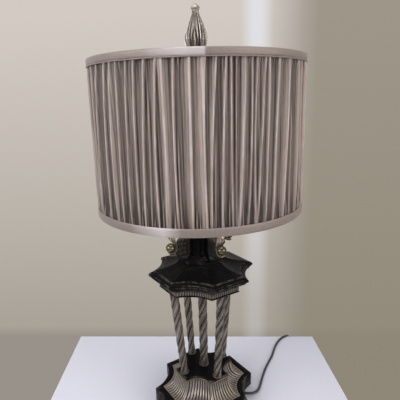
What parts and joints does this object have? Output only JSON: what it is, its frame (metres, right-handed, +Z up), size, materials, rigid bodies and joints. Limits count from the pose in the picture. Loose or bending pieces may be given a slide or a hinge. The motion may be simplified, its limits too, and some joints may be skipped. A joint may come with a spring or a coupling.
{
  "type": "table lamp",
  "caption": "Candlestick table lamp with rope-twist columns between a moulded foot and head, scroll brackets, a harp, and a gathered drum shade under a finial.",
  "frame": {"origin": "on the table under the lamp's vertical axis, at the bottom of the felt pad", "axes": "+Z up along the stem; -Y towards the side with the switch knob; the cord leaves towards +X"},
  "size_m": [0.4225, 0.5131, 0.7277],
  "materials": {
    "felt": "dark green pressed felt, matt",
    "black_lacquer": "black gloss lacquer, rubbed to brown and gold along its edges",
    "antique_silver_leaf": "silver leaf over cast resin, dark glaze in the grooves",
    "gilt_line": "thin dull gold line",
    "cast_iron": "rough casting",
    "steel": "zinc plated",
    "rope_silver": "antique silver glaze over cast rope strands",
    "scroll_silver": "antique silver over cast scrollwork",
    "ball_gilt": "pale gold leaf, polished",
    "leaf_bronze": "dark bronze glaze over a cast leaf",
    "antique_brass": "antique brass plating",
    "polished_brass": "polished brass shell",
    "insulating_card": "waxed fibre card",
    "phenolic": "black moulded phenolic",
    "bulb_cap": "threaded lamp cap",
    "bulb_glass": "frosted white glass",
    "shade_wire": "brass coloured wire",
    "shade_lining": "cream laminated sheet",
    "pleated_cloth": "gathered taupe satin with a soft sheen",
    "trim_cloth": "flat taupe satin band",
    "finial_silver": "cast metal with antique silver highlights",
    "wire_insulation": "vinyl insulation",
    "cord_rubber": "dark vinyl, slightly glossy",
    "tie_plastic": "flat plastic tie",
    "blade_brass": "stamped brass"
  },
  "bodies": {
    "root": {"felt_pad": "felt", "base_slab": "black_lacquer", "platform": "black_lacquer", "capital_apron": "black_lacquer", "capital_plate": "black_lacquer", "capital_flare": "black_lacquer", "neck_foot": "black_lacquer", "vase_shaft": "black_lacquer", "vase_cap": "black_lacquer", "fluted_skirt": "antique_silver_leaf", "bead_moulding": "antique_silver_leaf", "platform_trim": "gilt_line", "base_weight": "cast_iron", "threaded_rod": "steel", "bottom_washer": "steel", "bottom_nut": "steel", "centre_column": "rope_silver", "rope_column_front_right": "rope_silver", "rope_column_back_right": "rope_silver", "rope_column_back_left": "rope_silver", "rope_column_front_left": "rope_silver", "column_foot_rings": "rope_silver", "scroll_bracket_front_right": "scroll_silver", "scroll_bracket_back_right": "scroll_silver", "scroll_bracket_back_left": "scroll_silver", "scroll_bracket_front_left": "scroll_silver", "scroll_ball_front_right": "ball_gilt", "scroll_ball_back_right": "ball_gilt", "scroll_ball_back_left": "ball_gilt", "scroll_ball_front_left": "ball_gilt", "scroll_leaves": "leaf_bronze", "brass_neck": "antique_brass", "check_ring": "antique_brass", "harp_saddle": "antique_brass", "harp": "antique_brass", "socket_cap": "polished_brass", "socket_shell": "polished_brass", "insulating_sleeve": "insulating_card", "socket_core": "phenolic", "inner_wire": "wire_insulation", "strain_relief": "cord_rubber", "cord_lead": "cord_rubber", "cord_coil": "cord_rubber", "plug_body": "cord_rubber", "coil_tie": "tie_plastic", "plug_blades": "blade_brass"},
    "shade": {"shade_spider": "shade_wire", "shade_bottom_ring": "shade_wire", "shade_lining": "shade_lining", "pleated_cover": "pleated_cloth", "top_trim": "trim_cloth", "top_piping": "trim_cloth", "bottom_trim": "trim_cloth"},
    "finial": {"finial": "finial_silver"},
    "bulb": {"bulb_base": "bulb_cap", "bulb_glass": "bulb_glass"},
    "switch": {"switch_knob": "phenolic"},
    "sleeve_left": {"harp_sleeve_left": "antique_brass"},
    "sleeve_right": {"harp_sleeve_right": "antique_brass"}
  },
  "joints": [
    {"name": "shade_turn", "type": "hinge", "parent": "root", "child": "shade", "pos_m": [0, 0, 0.6391], "axis": [0, 0, 1], "continuous": true},
    {"name": "finial_turn", "type": "hinge", "parent": "root", "child": "finial", "pos_m": [0, 0, 0.6402], "axis": [0, 0, 1], "continuous": true},
    {"name": "bulb_turn", "type": "hinge", "parent": "root", "child": "bulb", "pos_m": [0, 0, 0.4479], "axis": [0, 0, 1], "continuous": true},
    {"name": "switch_turn", "type": "hinge", "parent": "root", "child": "switch", "pos_m": [0, -0.0195, 0.4376], "axis": [0, -1, 0], "continuous": true},
    {"name": "sleeve_left_lift", "type": "slide", "parent": "root", "child": "sleeve_left", "axis": [0, 0, 1], "range_m": [0, 0.012]},
    {"name": "sleeve_right_lift", "type": "slide", "parent": "root", "child": "sleeve_right", "axis": [0, 0, 1], "range_m": [0, 0.012]}
  ]
}
